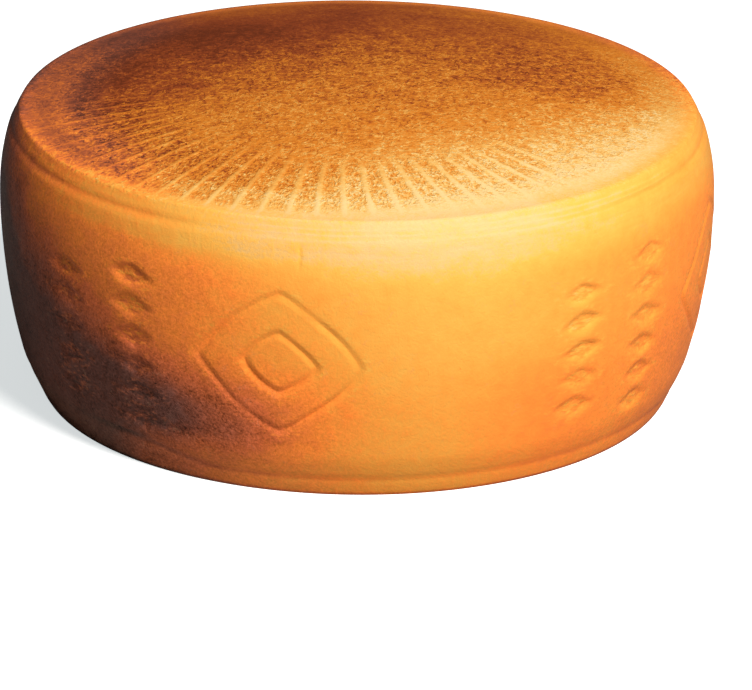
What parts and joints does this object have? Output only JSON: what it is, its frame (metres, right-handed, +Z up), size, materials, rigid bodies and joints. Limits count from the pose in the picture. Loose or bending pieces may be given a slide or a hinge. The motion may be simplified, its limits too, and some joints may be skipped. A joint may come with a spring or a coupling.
{
  "type": "cheese wheel",
  "caption": "Whole round wheel of pressed table cheese with a bulging side, domed ribbed face, rim crease and plain pressed lozenge marks.",
  "frame": {"origin": "middle of the foot, on the surface that the wheel stands on", "axes": "+Z up along the wheel's axis, from its foot to its domed face; -Y towards the side with the large lozenge that is seen first"},
  "size_m": [0.3502, 0.3497, 0.1523],
  "materials": {
    "rind": "rubbed golden to brown natural rind with a faint waxy sheen, paler along the ribs and the shoulder"
  },
  "bodies": {
    "root": {"cheese_wheel": "rind"}
  },
  "joints": []
}
